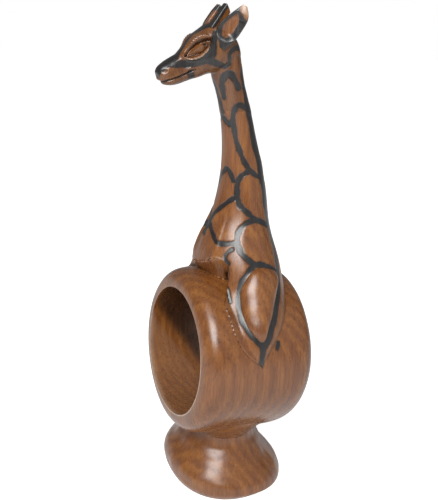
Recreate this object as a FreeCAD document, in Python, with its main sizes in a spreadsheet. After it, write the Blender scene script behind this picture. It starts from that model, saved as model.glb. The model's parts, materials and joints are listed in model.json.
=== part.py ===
import FreeCAD, Part
import Sketcher
import math
import os

# Carved wooden napkin ring with a giraffe bust, millimetres, +Z up. The origin is the middle of the
# foot's flat underside. The giraffe faces -Y, its left side is +X, and the ring's bore runs along Y.

doc = FreeCAD.newDocument("giraffe_napkin_ring")
sheet = doc.addObject("Spreadsheet::Sheet", "dims")

drivingDimensions = {
    "ring_bore": 19.0,          # radius of the hole that holds the napkin
    "ring_radius": 25.0,        # outside radius at the crown of the barrel
    "ring_length": 35.0,
    "ring_height": 42.9,        # middle of the bore above the table
    "ring_shift": -0.9,         # middle of the bore along Y
    "ring_tilt": 4.2,           # the front mouth stands a little higher than the back one
    "crown_radius": 170.0,      # the barrel's long outer curve
    "corner_radius": 4.9,       # round corner between that curve and the end face
    "bore_reach": 60.0,         # length of the tool that opens the bore
    "tenon_radius": 4.0,
    "tenon_length": 3.8,        # how far a main tenon goes into the ring's wall
    "tenon_root": 2.0,          # how far a tenon goes on inside its own piece
    "saddle_root": 4.0,         # the same for the neck's tenon, which stands under the hollow saddle
    "neck_tenon_radius": 2.4,
    "neck_tenon_length": 5.0,
    "head_y": -5.0,             # origin of the head's own frame, inside the skull
    "head_z": 130.5,
    "head_pitch": 28.0,         # how far the face is turned down
    "mouth_back": 11.6,         # along the head, where the lower jaw's block starts
    "mouth_height": 1.3,        # across the head, the line of the mouth
    "jaw_tool": 20.0,           # side of the block that parts the jaw from the skull
    "ear_long": 5.6, "ear_wide": 3.1, "ear_thick": 1.6,     # half sizes
    "ear_x": 6.6, "ear_y": -7.1, "ear_z": 137.2,
    "ear_scoop": 1.1,           # how far the hollow is moved out of the ear's middle
    "hollow_thick": 0.85, "hollow_face": 0.72,      # the hollow's size as a share of the ear's
    "ear_root_radius": 1.2, "ear_root_length": 5.5,
    "ear_root_out": 1.5,        # how much of the root stands out of the leaf
    "horn_wide": 2.3, "horn_deep": 2.4, "horn_long": 7.6,
    "horn_slant": 1.2,          # how much shorter the horn is at the back
    "horn_x": 2.7, "horn_y": -12.3, "horn_z": 136.0,
    "horn_lean": 33.0,          # the horns lean back
    "eye_long": 3.0, "eye_high": 1.6, "eye_thick": 1.3,     # half sizes
    "eye_x": 3.3, "eye_y": -15.4, "eye_z": 131.3,
    "eye_slope": 24.0,
    "shoulder_long": 13.0, "shoulder_deep": 6.2, "shoulder_thick": 4.4,     # half sizes
    "shoulder_x": 17.9, "shoulder_y": 0.0, "shoulder_z": 62.4,
    "shoulder_lean": 24.0,
    "shoulder_peg_radius": 1.6, "shoulder_peg_length": 7.0,
    "shoulder_skin": 1.0,       # wood left over the peg's outer end
}

# Each row is height, middle along Y, half width along X, half depth along Y.
footRows = [(0.0, 0.0, 18.9, 16.8), (1.2, 0.0, 19.7, 17.5), (3.1, -0.1, 20.1, 17.9),
            (5.1, -0.4, 19.7, 17.6), (7.1, -0.8, 18.4, 16.4), (9.4, -1.2, 16.2, 14.3),
            (12.4, -1.3, 13.9, 12.3), (15.1, -1.3, 12.4, 10.8), (17.8, -1.3, 12.2, 9.9)]
swellRows = [(17.8, -1.3, 12.2, 9.9), (19.8, -1.3, 13.9, 11.4), (22.6, -1.2, 16.3, 13.3),
             (26.2, -1.1, 18.4, 14.4)]
neckRows = [(47.3, -1.8, 24.9, 0.8), (49.6, -2.2, 24.9, 5.4), (52.4, -1.8, 24.6, 10.6),
            (55.0, -1.2, 24.0, 13.6), (58.0, -0.5, 22.8, 14.8), (61.0, 0.4, 21.1, 14.4),
            (64.0, 1.0, 19.3, 13.4), (68.3, 1.1, 17.0, 12.5), (73.2, 0.9, 14.6, 11.9),
            (78.1, 0.8, 12.0, 10.5), (84.0, 1.3, 9.2, 8.6), (89.9, 1.7, 7.6, 7.4), (96.7, 1.4, 6.5, 6.3),
            (103.6, 0.6, 5.5, 5.3), (109.4, -0.6, 4.9, 4.7), (115.2, -2.0, 4.6, 4.4)]
napeRows = [(115.2, -2.0, 4.6, 4.4), (119.1, -3.2, 4.5, 4.3), (123.0, -4.5, 4.6, 4.4),
            (126.8, -5.3, 4.6, 4.3), (130.7, -5.7, 4.2, 3.6)]
# Each row is the distance towards the nose, middle across, half height, half width.
skullRows = [(-3.0, 1.0, 1.5, 1.3), (-2.2, 1.2, 3.6, 3.2), (-0.6, 2.0, 5.6, 4.6), (1.5, 2.7, 6.5, 5.3),
             (4.5, 3.0, 6.1, 5.5), (7.0, 3.1, 5.6, 5.2), (9.1, 3.1, 5.1, 4.6), (11.0, 2.7, 4.5, 3.8),
             (13.2, 2.5, 3.9, 3.3), (16.3, 2.7, 3.5, 3.1), (18.6, 2.9, 3.1, 2.9), (20.0, 3.2, 2.4, 2.3),
             (20.9, 3.4, 1.5, 1.4)]
earAxis = (0.22, 0.31, 0.92)        # from the ear's root to its tip
earFace = (0.86, -0.5, 0.0)         # the way its hollow looks


def fillSheet():
    """Write every driving dimension and section row, each under its own alias."""
    cells = dict(drivingDimensions)
    tables = {"foot": footRows, "swell": swellRows, "neck": neckRows, "nape": napeRows}
    for name, rows in tables.items():
        for number, (height, middle, wide, deep) in enumerate(rows):
            cells[f"{name}{number}_height"] = height
            cells[f"{name}{number}_middle"] = middle
            cells[f"{name}{number}_wide"] = wide
            cells[f"{name}{number}_deep"] = deep
    for number, (along, across, high, wide) in enumerate(skullRows):
        cells[f"skull{number}_along"] = along
        cells[f"skull{number}_across"] = across
        cells[f"skull{number}_high"] = high
        cells[f"skull{number}_wide"] = wide
    for line, (alias, value) in enumerate(cells.items(), start=1):
        sheet.set(f"A{line}", alias)
        sheet.set(f"B{line}", str(value))
        sheet.setAlias(f"B{line}", alias)
    doc.recompute()


def bind(item, **links):
    """Bind properties to expressions; a double underscore in a name stands for a dot."""
    for prop, expression in links.items():
        item.setExpression(prop.replace("__", "."), expression)
    return item


def turned(item, axis, expression):
    """Turn an object about one axis by an angle from the sheet, in degrees."""
    item.Placement = FreeCAD.Placement(item.Placement.Base, FreeCAD.Rotation(axis, 10))
    return bind(item, Placement__Rotation__Angle=f"({expression}) * 1 deg")


def boolean(kind, name, base, tool):
    item = doc.addObject(f"Part::{kind}", name)
    item.Base = base
    item.Tool = tool
    return item


def cut(name, base, *tools):
    """Take several tools away from a base, one after another; the last cut has the plain name."""
    for number, tool in enumerate(tools, start=1):
        step = name if number == len(tools) else f"{name}_step{number}"
        base = boolean("Cut", step, base, tool)
    return base


def sectionLoft(name, table, count):
    """A smooth loft through level ellipses whose long axis is X."""
    rings = []
    for number in range(count):
        key = f"dims.{table}{number}"
        ring = doc.addObject("Part::Ellipse", f"{table}_section{number}")
        bind(ring, MajorRadius=f"{key}_wide", MinorRadius=f"{key}_deep",
             Placement__Base__y=f"{key}_middle", Placement__Base__z=f"{key}_height")
        rings.append(ring)
    loft = doc.addObject("Part::Loft", name)
    loft.Sections = rings
    loft.Solid = True
    loft.Ruled = False
    return loft


def inHeadFrame(item):
    """Put an object made around the head's own frame (its Z to the nose) where the head is."""
    turned(item, FreeCAD.Vector(1, 0, 0), "90 + dims.head_pitch")
    return bind(item, Placement__Base__y="dims.head_y", Placement__Base__z="dims.head_z")


def skullLoft():
    rings = []
    for number in range(len(skullRows)):
        key = f"dims.skull{number}"
        ring = doc.addObject("Part::Ellipse", f"skull_section{number}")
        ring.Placement.Rotation = FreeCAD.Rotation(FreeCAD.Vector(0, 0, 1), 90)
        bind(ring, MajorRadius=f"{key}_high", MinorRadius=f"{key}_wide",
             Placement__Base__y=f"{key}_across", Placement__Base__z=f"{key}_along")
        rings.append(ring)
    loft = doc.addObject("Part::Loft", "skull")
    loft.Sections = rings
    loft.Solid = True
    return inHeadFrame(loft)


def barrelBody():
    """The ring's outside as a full turned barrel: a crowned curve with a round corner at each end."""
    body = doc.addObject("PartDesign::Body", "barrel")
    sketch = body.newObject("Sketcher::SketchObject", "barrel_section")
    plane = next(item for item in body.Origin.OriginFeatures if item.Role == "XY_Plane")
    sketch.AttachmentSupport = [(plane, "")]
    sketch.MapMode = "FlatFace"
    half = drivingDimensions["ring_length"] / 2
    crown = drivingDimensions["crown_radius"]
    corner = drivingDimensions["corner_radius"]
    crownMiddle = drivingDimensions["ring_radius"] - crown
    along = half - corner
    level = math.sqrt((crown - corner) ** 2 - along ** 2) + crownMiddle
    swing = math.atan2(along, level - crownMiddle)
    point, out = FreeCAD.Vector, FreeCAD.Vector(0, 0, 1)
    pieces = [
        Part.LineSegment(point(0, -half, 0), point(0, half, 0)),
        Part.LineSegment(point(0, -half, 0), point(level, -half, 0)),
        Part.ArcOfCircle(Part.Circle(point(level, -along, 0), out, corner), -math.pi / 2, -swing),
        Part.ArcOfCircle(Part.Circle(point(crownMiddle, 0, 0), out, crown), -swing, swing),
        Part.ArcOfCircle(Part.Circle(point(level, along, 0), out, corner), swing, math.pi / 2),
        Part.LineSegment(point(level, half, 0), point(0, half, 0)),
    ]
    axis, backFace, backArc, crownArc, frontArc, frontFace = sketch.addGeometry(pieces, False)
    start, end, centre, origin, horizontal, vertical = 1, 2, 3, -1, -1, -2
    rules = [
        ("Coincident", axis, start, backFace, start), ("Coincident", axis, end, frontFace, end),
        ("Tangent", backFace, end, backArc, start), ("Tangent", backArc, end, crownArc, start),
        ("Tangent", crownArc, end, frontArc, start), ("Tangent", frontArc, end, frontFace, start),
        ("PointOnObject", axis, start, vertical), ("Horizontal", backFace),
        ("Horizontal", frontFace), ("Symmetric", axis, start, axis, end, horizontal),
        ("PointOnObject", crownArc, centre, horizontal), ("Equal", backArc, frontArc),
    ]
    for rule in rules:
        sketch.addConstraint(Sketcher.Constraint(*rule))
    sizes = [
        ("DistanceY", (axis, start, axis, end), 2 * half, "dims.ring_length"),
        ("Radius", (crownArc,), crown, "dims.crown_radius"),
        ("Radius", (frontArc,), corner, "dims.corner_radius"),
        ("DistanceX", (crownArc, centre, origin, start), -crownMiddle, "dims.crown_radius - dims.ring_radius"),
    ]
    for kind, places, value, expression in sizes:
        number = sketch.addConstraint(Sketcher.Constraint(kind, *places, value))
        sketch.setExpression(f"Constraints[{number}]", expression)
    turn = body.newObject("PartDesign::Revolution", "barrel_turn")
    turn.Profile = sketch
    turn.ReferenceAxis = (sketch, ["V_Axis"])
    turn.Angle = 360
    body.Tip = turn
    turned(body, FreeCAD.Vector(1, 0, 0), "-dims.ring_tilt")
    return bind(body, Placement__Base__y="dims.ring_shift", Placement__Base__z="dims.ring_height")


def boreTool():
    """A cylinder along the ring's tilted axis, longer than the ring."""
    tool = bind(doc.addObject("Part::Cylinder", "bore_tool"), Radius="dims.ring_bore", Height="dims.bore_reach")
    turned(tool, FreeCAD.Vector(1, 0, 0), "90 - dims.ring_tilt")
    lean = "dims.bore_reach / 2"
    return bind(tool, Placement__Base__y=f"dims.ring_shift + {lean} * cos(dims.ring_tilt * 1 deg)",
                Placement__Base__z=f"dims.ring_height - {lean} * sin(dims.ring_tilt * 1 deg)")


def tenon(name, radius, length, middle, height):
    """A round upright tenon; the piece that has it and the mortise that takes it share its size."""
    return bind(doc.addObject("Part::Cylinder", name), Radius=radius, Height=length,
                Placement__Base__y=middle, Placement__Base__z=height)


def ellipsoid(name, across, along, upward, place):
    """An ellipsoid with a half size on each axis, at a point mirrored by the sign in place."""
    item = doc.addObject("Part::Ellipsoid", name)
    item.Angle1, item.Angle2, item.Angle3 = -90, 90, 360
    x, y, z = place
    return bind(item, Radius1=upward, Radius2=across, Radius3=along,
                Placement__Base__x=x, Placement__Base__y=y, Placement__Base__z=z)


def facing(longAxis, outward):
    """A rotation whose Z lies along longAxis and whose X points as near to outward as it can."""
    z = FreeCAD.Vector(*longAxis).normalize()
    y = z.cross(FreeCAD.Vector(*outward)).normalize()
    return FreeCAD.Rotation(y.cross(z), y, z, "ZXY")


def mirrored(name, source):
    """The same piece on the giraffe's right side."""
    item = doc.addObject("Part::Mirroring", name)
    item.Source = source
    item.Base = FreeCAD.Vector(0, 0, 0)
    item.Normal = FreeCAD.Vector(1, 0, 0)
    return item


def leftEar():
    """A leaf with a hollow in its outer face, on a round root that goes into the skull."""
    middle = ("0", "0", "0")
    leaf = ellipsoid("ear_leaf", "dims.ear_thick", "dims.ear_wide", "dims.ear_long", middle)
    hollow = ellipsoid("ear_hollow", "dims.ear_thick * dims.hollow_thick", "dims.ear_wide * dims.hollow_face",
                       "dims.ear_long * dims.hollow_face", ("dims.ear_scoop", "0", "0"))
    root = tenon("ear_root", "dims.ear_root_radius", "dims.ear_root_length", "0",
                 "-dims.ear_long - dims.ear_root_out")
    ear = boolean("Fuse", "ear_left", boolean("Cut", "ear_shell", leaf, hollow), root)
    ear.Placement.Rotation = facing(earAxis, earFace)
    return bind(ear, Placement__Base__x="dims.ear_x", Placement__Base__y="dims.ear_y",
                Placement__Base__z="dims.ear_z")


def leftHorn():
    """A short square post, cut off at a slant that falls to the back."""
    horn = doc.addObject("Part::Wedge", "horn_left")
    bind(horn, Xmin="-dims.horn_wide / 2", X2min="-dims.horn_wide / 2", Xmax="dims.horn_wide / 2",
         X2max="dims.horn_wide / 2", Ymin="0", Ymax="dims.horn_deep", Zmin="0", Z2min="0",
         Zmax="dims.horn_long", Z2max="dims.horn_long - dims.horn_slant")
    turned(horn, FreeCAD.Vector(1, 0, 0), "-dims.horn_lean")
    return bind(horn, Placement__Base__x="dims.horn_x", Placement__Base__y="dims.horn_y",
                Placement__Base__z="dims.horn_z")


def leftEye():
    eye = ellipsoid("eye_left", "dims.eye_thick", "dims.eye_long", "dims.eye_high",
                    ("dims.eye_x", "dims.eye_y", "dims.eye_z"))
    return turned(eye, FreeCAD.Vector(1, 0, 0), "dims.eye_slope")


def shoulderTools():
    """The full egg of the left shoulder and the peg that holds it on the leg."""
    place = ("dims.shoulder_x", "dims.shoulder_y", "dims.shoulder_z")
    egg = ellipsoid("shoulder_egg", "dims.shoulder_thick", "dims.shoulder_deep", "dims.shoulder_long", place)
    turned(egg, FreeCAD.Vector(0, 1, 0), "-dims.shoulder_lean")
    peg = doc.addObject("Part::Cylinder", "shoulder_peg")
    bind(peg, Radius="dims.shoulder_peg_radius", Height="dims.shoulder_peg_length")
    turned(peg, FreeCAD.Vector(0, 1, 0), "-90 - dims.shoulder_lean")
    outward = "(dims.shoulder_thick - dims.shoulder_skin)"
    bind(peg, Placement__Base__x=f"dims.shoulder_x + {outward} * cos(dims.shoulder_lean * 1 deg)",
         Placement__Base__y="dims.shoulder_y",
         Placement__Base__z=f"dims.shoulder_z + {outward} * sin(dims.shoulder_lean * 1 deg)")
    return egg, peg


def jawBlock():
    """The block below the mouth line, square to the head, that parts the lower jaw from the skull."""
    block = bind(doc.addObject("Part::Box", "jaw_block"), Length="dims.jaw_tool", Width="dims.jaw_tool",
                 Height="dims.jaw_tool")
    turned(block, FreeCAD.Vector(1, 0, 0), "90 + dims.head_pitch")
    down, side = "(dims.mouth_height - dims.jaw_tool)", "dims.mouth_back"
    cosine, sine = "cos(dims.head_pitch * 1 deg)", "sin(dims.head_pitch * 1 deg)"
    return bind(block, Placement__Base__x="-dims.jaw_tool / 2",
                Placement__Base__y=f"dims.head_y - {side} * {cosine} - {down} * {sine}",
                Placement__Base__z=f"dims.head_z - {side} * {sine} + {down} * {cosine}")


def buildPieces():
    """Make every sub-part and give back the ones that are pieces of their own, by name."""
    barrel = barrelBody()
    bore = boreTool()
    footTop = f"dims.foot{len(footRows) - 1}_height"
    ringTop = "dims.ring_height + dims.ring_radius"
    neckTop = f"dims.neck{len(neckRows) - 1}_height"
    footTenon = tenon("foot_tenon", "dims.tenon_radius", "dims.tenon_length + dims.tenon_root",
                      "dims.ring_shift", f"{footTop} - dims.tenon_root")
    neckTenon = tenon("neck_tenon", "dims.tenon_radius", "dims.tenon_length + dims.saddle_root",
                      "dims.ring_shift", f"{ringTop} - dims.tenon_length")
    headTenon = tenon("head_tenon", "dims.neck_tenon_radius", "dims.neck_tenon_length + dims.tenon_root",
                      "dims.nape1_middle", f"{neckTop} - dims.tenon_root")
    foot = boolean("Fuse", "foot", sectionLoft("foot_flare", "foot", len(footRows)), footTenon)
    swollen = boolean("Fuse", "ring_blank", barrel, sectionLoft("ring_swell", "swell", len(swellRows)))
    ring = cut("ring", swollen, bore, footTenon, neckTenon)

    neckSolid = sectionLoft("neck_solid", "neck", len(neckRows))
    egg, peg = shoulderTools()
    shoulder = boolean("Fuse", "shoulder_left", cut("shoulder_cap", egg, neckSolid, barrel), peg)
    otherShoulder = mirrored("shoulder_right", shoulder)
    saddle = cut("neck_saddle", neckSolid, barrel, peg, mirrored("shoulder_peg_right", peg))
    neck = boolean("Fuse", "neck", boolean("Fuse", "neck_with_foot", saddle, neckTenon), headTenon)

    skull = boolean("Fuse", "skull_and_nape", skullLoft(), sectionLoft("nape", "nape", len(napeRows)))
    block = jawBlock()
    jaw = boolean("Common", "lower_jaw", skull, block)
    ear, horn, eye = leftEar(), leftHorn(), leftEye()
    others = [mirrored(f"{name}_right", item) for name, item in (("ear", ear), ("horn", horn), ("eye", eye))]
    head = cut("head", skull, block, headTenon, ear, horn, eye, *others)
    pieces = [foot, ring, neck, shoulder, otherShoulder, head, jaw, ear, horn, eye, *others]
    return {piece.Name: piece for piece in pieces}


def checkDocument(pieces):
    """Stop before anything is written if an object failed or a piece isn't one sound solid."""
    for item in doc.Objects:
        if "Invalid" in item.State or "Error" in item.State:
            raise RuntimeError(f"{item.Name} failed: {item.State}")
    for name, piece in pieces.items():
        shape = piece.Shape
        if shape.isNull() or not shape.isValid() or len(shape.Solids) != 1:
            raise RuntimeError(f"{name} isn't one valid solid: {len(shape.Solids)} solids")
        print(f"{name}: {shape.Volume / 1000:.2f} cm3, {len(shape.Faces)} faces")


fillSheet()
pieces = buildPieces()
for name, piece in pieces.items():
    piece.Label = name
doc.recompute()
checkDocument(pieces)
os.makedirs("parts", exist_ok=True)
for name, piece in pieces.items():
    piece.Shape.exportStep(f"parts/{name}.step")
print(len(pieces), "pieces written")
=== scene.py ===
import json
import math

import bmesh
import bpy
import numpy as np
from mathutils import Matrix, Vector
from mathutils.bvhtree import BVHTree


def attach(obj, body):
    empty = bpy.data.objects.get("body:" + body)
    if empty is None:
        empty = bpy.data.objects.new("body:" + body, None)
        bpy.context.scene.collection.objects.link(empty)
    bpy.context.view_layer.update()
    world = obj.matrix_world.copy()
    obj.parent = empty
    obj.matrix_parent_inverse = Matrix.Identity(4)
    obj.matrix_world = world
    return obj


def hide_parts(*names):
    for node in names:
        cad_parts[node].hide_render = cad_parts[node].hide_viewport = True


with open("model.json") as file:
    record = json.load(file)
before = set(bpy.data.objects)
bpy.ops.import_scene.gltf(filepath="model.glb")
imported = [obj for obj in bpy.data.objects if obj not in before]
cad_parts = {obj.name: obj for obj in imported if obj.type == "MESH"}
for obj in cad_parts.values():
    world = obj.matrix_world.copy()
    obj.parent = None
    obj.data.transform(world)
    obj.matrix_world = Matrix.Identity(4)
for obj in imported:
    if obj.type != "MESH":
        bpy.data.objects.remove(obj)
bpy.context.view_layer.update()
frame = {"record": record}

mm = 0.001  # the sizes below are millimetres, the objects are in metres

print("giraffe napkin ring: helpers")


class Wire:
    # a socket of a node tree; sums, products and powers of it become Math nodes
    def __init__(self, tree, socket=None):
        self.tree = tree
        self.socket = socket

    def node(self, kind, settings=None, sockets=None, out=0):
        made = self.tree.nodes.new(kind)
        for name, value in (settings or {}).items():
            if name == "stops":
                for _ in range(len(value) - 2):
                    made.color_ramp.elements.new(0.5)
                for element, (place, colour) in zip(made.color_ramp.elements, value):
                    element.position = place
                    element.color = (*colour, 1)
            else:
                setattr(made, name, value)
        for name, value in (sockets or {}).items():
            if isinstance(value, Wire):
                self.tree.links.new(value.socket, made.inputs[name])
            else:
                made.inputs[name].default_value = value
        return Wire(self.tree, made.outputs[out] if len(made.outputs) else None)

    def maths(self, operation, *values):
        return self.node("ShaderNodeMath", {"operation": operation}, dict(enumerate(values)))

    def calc(self, operation, *others):
        # a Math node that starts from this socket's own value
        return self.maths(operation, self, *others)

    def __add__(self, other):
        return self.calc("ADD", other)

    __radd__ = __add__

    def __sub__(self, other):
        return self.calc("SUBTRACT", other)

    def __rsub__(self, other):
        return self.maths("SUBTRACT", other, self)

    def __mul__(self, other):
        return self.calc("MULTIPLY", other)

    __rmul__ = __mul__

    def __truediv__(self, other):
        return self.calc("DIVIDE", other)

    def __rtruediv__(self, other):
        return self.maths("DIVIDE", other, self)

    def __pow__(self, other):
        return self.calc("POWER", other)

    def __abs__(self):
        return self.calc("ABSOLUTE")

    def above(self, other):
        return self.calc("GREATER_THAN", other)

    def atLeast(self, low):
        return self.calc("MAXIMUM", low)

    def spread(self, low, high, toLow=0.0, toHigh=1.0):
        # a smooth step from one value to another
        sockets = {"Value": self, "From Min": low, "From Max": high, "To Min": toLow, "To Max": toHigh}
        return self.node("ShaderNodeMapRange", {"interpolation_type": "SMOOTHSTEP"}, sockets)

    def blended(self, first, second):
        # two colours mixed by this value
        return self.node("ShaderNodeMix", {"data_type": "RGBA"}, {"Factor": self, 6: first, 7: second}, 2)

    def vector(self, operation, other):
        return self.node("ShaderNodeVectorMath", {"operation": operation}, {0: self, 1: other})

    def timesVector(self, direction):
        return self.node("ShaderNodeVectorMath", {"operation": "SCALE"}, {0: direction, "Scale": self})


def smoothRows(rows, at):
    # a bending-free spline through every column of the rows, read at the given places of the first column
    rows = np.array(rows, float)
    places, values = rows[:, 0], rows[:, 1:]
    gaps = np.diff(places)
    count = len(places)
    system = np.eye(count)
    right = np.zeros_like(values)
    for i in range(1, count - 1):
        system[i, i - 1:i + 2] = gaps[i - 1], 2 * (gaps[i - 1] + gaps[i]), gaps[i]
        slopeChange = (values[i + 1] - values[i]) / gaps[i] - (values[i] - values[i - 1]) / gaps[i - 1]
        right[i] = 6 * slopeChange
    bends = np.linalg.solve(system, right)
    at = np.asarray(at, float)
    i = np.clip(np.searchsorted(places, at, side="right") - 1, 0, count - 2)
    gap = gaps[i][..., None]
    after = (at - places[i])[..., None] / gap
    before = 1 - after
    bent = ((before**3 - before) * bends[i] + (after**3 - after) * bends[i + 1]) * gap * gap / 6
    return before * values[i] + after * values[i + 1] + bent


def smoothLine(points, steps=10):
    # a polyline with round bends through the given points
    points = np.array(points, float)
    knots = np.column_stack([np.arange(len(points)), points])
    return smoothRows(knots, np.linspace(0, len(points) - 1, (len(points) - 1) * steps + 1))


def easeStep(values, low, high):
    share = np.clip((np.asarray(values, float) - low) / (high - low), 0, 1)
    return share * share * (3 - 2 * share)


def hump(*offsets):
    # 1 where every offset is 0, and falling off smoothly round it
    return np.exp(-sum(offset**2 for offset in offsets))


def evenTurns(count):
    return np.linspace(0, 2 * math.pi, count, endpoint=False)


def squaredOutline(count, squareness):
    # a unit outline, which is a circle at 2 and nears a square as the squareness grows
    turns = evenTurns(count)
    power = 2 / squareness
    x = np.sign(np.cos(turns)) * np.abs(np.cos(turns)) ** power
    y = np.sign(np.sin(turns)) * np.abs(np.sin(turns)) ** power
    return x, y


def handWaver(points, wave, seed, stretch=(1, 1, 1)):
    # a smooth uneven field between -1 and 1, as a hand leaves it
    chance = np.random.default_rng(seed)
    turns = chance.normal(size=(9, 3))
    turns /= np.linalg.norm(turns, axis=1)[:, None]
    turns *= 2 * math.pi / wave * chance.uniform(0.7, 1.4, (9, 1)) * np.array(stretch)
    phases = chance.uniform(0, 2 * math.pi, 9)
    return np.sin(np.asarray(points) @ turns.T + phases).mean(-1) * 1.7


def loftShell(rings):
    # a closed skin over level rings of equal count, with a fan at each end
    rings = np.asarray(rings, float)
    rows, around = rings.shape[:2]
    points = np.vstack([rings.reshape(-1, 3), rings[0].mean(0), rings[-1].mean(0)])
    low, high = rows * around, rows * around + 1
    here = np.arange(around)
    after = (here + 1) % around
    faces = []
    for row in range(rows - 1):
        start = row * around
        quads = np.stack([here, after, after + around, here + around], 1) + start
        faces += quads.tolist()
    top = (rows - 1) * around
    for a, b in zip(here.tolist(), after.tolist()):
        faces.append((low, b, a))
        faces.append((high, top + a, top + b))
    return points, faces


def joinShells(shells):
    points, faces, start = [], [], 0
    for shellPoints, shellFaces in shells:
        points.append(shellPoints)
        faces += [[corner + start for corner in face] for face in shellFaces]
        start += len(shellPoints)
    return np.vstack(points), faces


def addToScene(name, data):
    item = bpy.data.objects.new(name, data)
    bpy.context.scene.collection.objects.link(item)
    return item


def newMesh(name, points, edges, faces):
    mesh = bpy.data.meshes.new(name)
    mesh.from_pydata((np.asarray(points) * mm).tolist(), edges, faces)
    return addToScene(name, mesh)


def newPiece(name, points, faces):
    piece = newMesh(name, points, [], faces)
    outwardFaces(piece)
    return piece


def outwardFaces(piece):
    work = bmesh.new()
    work.from_mesh(piece.data)
    bmesh.ops.remove_doubles(work, verts=work.verts, dist=1e-6)
    bmesh.ops.recalc_face_normals(work, faces=work.faces)
    work.to_mesh(piece.data)
    work.free()


def settle(piece):
    # the modifiers' result becomes the piece's own mesh
    graph = bpy.context.evaluated_depsgraph_get()
    mesh = bpy.data.meshes.new_from_object(piece.evaluated_get(graph))
    piece.modifiers.clear()
    piece.data = mesh


def readPoints(piece, normals=False):
    mesh = piece.data
    flat = np.empty(len(mesh.vertices) * 3, np.float32)
    if normals:
        mesh.vertex_normals.foreach_get("vector", flat)
        return flat.reshape(-1, 3).astype(float)
    mesh.vertices.foreach_get("co", flat)
    return flat.reshape(-1, 3).astype(float) / mm


def writePoints(piece, points):
    piece.data.vertices.foreach_set("co", (np.asarray(points) * mm).astype(np.float32).ravel())
    piece.data.update()


def waverSkin(piece, wave, seed, depth):
    # the hand's uneven cut, in and out of the skin; returns the new points
    points = readPoints(piece)
    normals = readPoints(piece, True)
    points = points + normals * (handWaver(points, wave, seed) * depth)[:, None]
    writePoints(piece, points)
    return points


def softShade(piece, sharpAngle):
    piece.data.shade_smooth()
    piece.data.set_sharp_from_angle(angle=math.radians(sharpAngle))


def combine(piece, other, operation):
    tool = piece.modifiers.new("combine", "BOOLEAN")
    tool.operation = operation
    tool.solver = "EXACT"
    tool.object = other
    settle(piece)


def discard(piece):
    bpy.data.objects.remove(piece, do_unlink=True)


def strokeGap(points, strokes):
    # distance from each point to the nearest stroke, less the stroke's own half width; far off it is
    # just a large number
    farOff, nearBy = 50.0, 4
    points = np.asarray(points, np.float32)
    nearest = np.full(len(points), farOff, np.float32)
    for stroke in strokes:
        stroke = np.asarray(stroke, np.float32)
        low = stroke[:, :3].min(0) - nearBy
        high = stroke[:, :3].max(0) + nearBy
        close = np.where(((points > low) & (points < high)).all(1))[0]
        if len(close) == 0:
            continue
        part = points[close]
        best = nearest[close]
        for start, end in zip(stroke[:-1], stroke[1:]):
            run = end[:3] - start[:3]
            length = float(run @ run) + 1e-9
            share = np.clip((part - start[:3]) @ run / length, 0, 1)
            gap = np.linalg.norm(part - start[:3] - share[:, None] * run, axis=1)
            best = np.minimum(best, gap - (start[3] + share * (end[3] - start[3])))
        nearest[close] = best
    return nearest.astype(float)


def storeInk(piece, gap, wear=None):
    # the scorch's edge in millimetres, and the wood's wear with its painted light and shade: rubbing and
    # painted light up to 1, grime and painted shade down to -1
    for name, values in (("ink", gap), ("wear", wear)):
        if values is not None:
            layer = piece.data.attributes.get(name) or piece.data.attributes.new(name, "FLOAT", "POINT")
            layer.data.foreach_set("value", np.asarray(values, np.float32))


print("giraffe napkin ring: wood and scorch")

woodLook = {
    "deep": (0.090, 0.026, 0.007),
    "middle": (0.200, 0.067, 0.013),
    "pale": (0.360, 0.145, 0.034),
    "purple": (0.130, 0.042, 0.020),
    "paleWearAndLight": (0.50, 0.34, 0.24),  # wood rubbed pale on its edges, and painted light and sheen on ridges
    # dark for grime and for painted shade in creases, hollows and the bore's depth
    "shadeAndGrime": (0.020, 0.008, 0.004),
    "scorch": (0.0065, 0.0062, 0.0068),
    "char": (0.020, 0.016, 0.014),  # the scorch's browner streaks
    "streakWidth": 0.45,  # mm across the fibres
    "poreWidth": 0.26,
    "poreShare": 0.42,
    "purpleShare": 0.45,
    "ringSpacing": 2.6,  # mm between growth rings
    "haloWidth": 0.75,  # mm of darkened wood beside a scorched line
    "haloShare": 0.28,
    "roughness": 0.29,
    "gloss": 0.6,
    "glossRoughness": 0.27,
    "bumpDepth": 0.030,  # mm
}


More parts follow.
